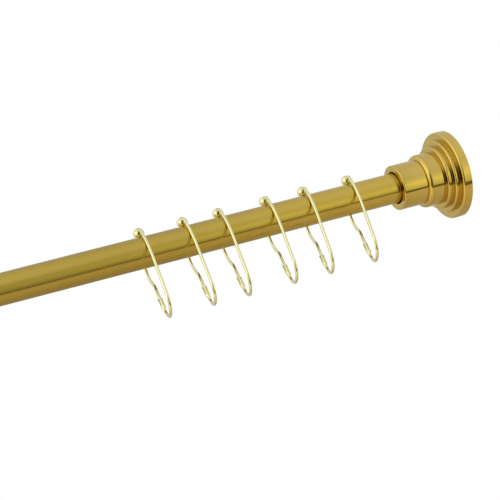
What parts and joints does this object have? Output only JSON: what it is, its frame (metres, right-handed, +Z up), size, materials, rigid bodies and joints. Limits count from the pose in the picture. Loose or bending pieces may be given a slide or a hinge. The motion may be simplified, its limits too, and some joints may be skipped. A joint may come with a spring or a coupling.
{
  "type": "shower curtain rod",
  "caption": "Telescoping satin brass shower curtain rod with stepped round wall flanges and gourd-shaped wire rings that run on beads.",
  "frame": {"origin": "on the rod's axis, in the face that meets the right-hand wall", "axes": "+X along the rod into the right-hand wall, +Y away from the viewer, +Z up"},
  "size_m": [1.6764, 0.0736, 0.0968],
  "materials": {
    "satin_brass": "satin, finely brushed round the tube",
    "polished_brass": "polished",
    "zinc_plate": "zinc plated",
    "black_steel": "black oxide",
    "nylon": "moulded nylon",
    "rubber": "moulded rubber"
  },
  "bodies": {
    "fixed_rod": {"wall_plate_right": "zinc_plate", "set_screw_right": "black_steel", "outer_tube": "satin_brass", "guide_bush": "nylon"},
    "sliding_rod": {"inner_tube": "satin_brass", "tail_bush": "nylon", "wall_plate_left": "zinc_plate", "set_screw_left": "black_steel"},
    "right_cover": {"flange_cover_right": "satin_brass", "grip_ring_right": "rubber"},
    "left_cover": {"flange_cover_left": "satin_brass", "grip_ring_left": "rubber"},
    "ring_1": {"ring_wire_1": "polished_brass"},
    "bead_1": {"ring_bead_1": "polished_brass"},
    "ring_2": {"ring_wire_2": "polished_brass"},
    "bead_2": {"ring_bead_2": "polished_brass"},
    "ring_3": {"ring_wire_3": "polished_brass"},
    "bead_3": {"ring_bead_3": "polished_brass"},
    "ring_4": {"ring_wire_4": "polished_brass"},
    "bead_4": {"ring_bead_4": "polished_brass"},
    "ring_5": {"ring_wire_5": "polished_brass"},
    "bead_5": {"ring_bead_5": "polished_brass"},
    "ring_6": {"ring_wire_6": "polished_brass"},
    "bead_6": {"ring_bead_6": "polished_brass"}
  },
  "joints": [
    {"name": "rod_length", "type": "slide", "parent": "fixed_rod", "child": "sliding_rod", "axis": [-1, 0, 0], "range_m": [-0.1524, 0.1524]},
    {"name": "right_cover_slide", "type": "slide", "parent": "fixed_rod", "child": "right_cover", "axis": [-1, 0, 0], "range_m": [0, 0.018]},
    {"name": "left_cover_slide", "type": "slide", "parent": "sliding_rod", "child": "left_cover", "axis": [1, 0, 0], "range_m": [0, 0.25]},
    {"name": "ring_1_slide", "type": "slide", "parent": "fixed_rod", "child": "ring_1", "axis": [-1, 0, 0], "range_m": [-0.0135, 0.015]},
    {"name": "bead_1_spin", "type": "hinge", "parent": "ring_1", "child": "bead_1", "pos_m": [-0.0907, 0, 0.0175], "axis": [0.1097, 0.994, 0], "continuous": true},
    {"name": "ring_2_slide", "type": "slide", "parent": "fixed_rod", "child": "ring_2", "axis": [-1, 0, 0], "range_m": [-0.015, 0.012]},
    {"name": "bead_2_spin", "type": "hinge", "parent": "ring_2", "child": "bead_2", "pos_m": [-0.1315, 0, 0.0175], "axis": [0.108, 0.9942, 0], "continuous": true},
    {"name": "ring_3_slide", "type": "slide", "parent": "fixed_rod", "child": "ring_3", "axis": [-1, 0, 0], "range_m": [-0.012, 0.0155]},
    {"name": "bead_3_spin", "type": "hinge", "parent": "ring_3", "child": "bead_3", "pos_m": [-0.1661, 0, 0.0175], "axis": [0.0872, 0.9962, 0], "continuous": true},
    {"name": "ring_4_slide", "type": "slide", "parent": "fixed_rod", "child": "ring_4", "axis": [-1, 0, 0], "range_m": [-0.0155, 0.0105]},
    {"name": "bead_4_spin", "type": "hinge", "parent": "ring_4", "child": "bead_4", "pos_m": [-0.208, 0, 0.0175], "axis": [0.1011, 0.9949, 0], "continuous": true},
    {"name": "ring_5_slide", "type": "slide", "parent": "fixed_rod", "child": "ring_5", "axis": [-1, 0, 0], "range_m": [-0.0105, 0.0135]},
    {"name": "bead_5_spin", "type": "hinge", "parent": "ring_5", "child": "bead_5", "pos_m": [-0.2395, 0, 0.0175], "axis": [0.1167, 0.9932, 0], "continuous": true},
    {"name": "ring_6_slide", "type": "slide", "parent": "fixed_rod", "child": "ring_6", "axis": [-1, 0, 0], "range_m": [-0.0135, 0.715]},
    {"name": "bead_6_spin", "type": "hinge", "parent": "ring_6", "child": "bead_6", "pos_m": [-0.2773, 0, 0.0175], "axis": [0.1028, 0.9947, 0], "continuous": true}
  ]
}
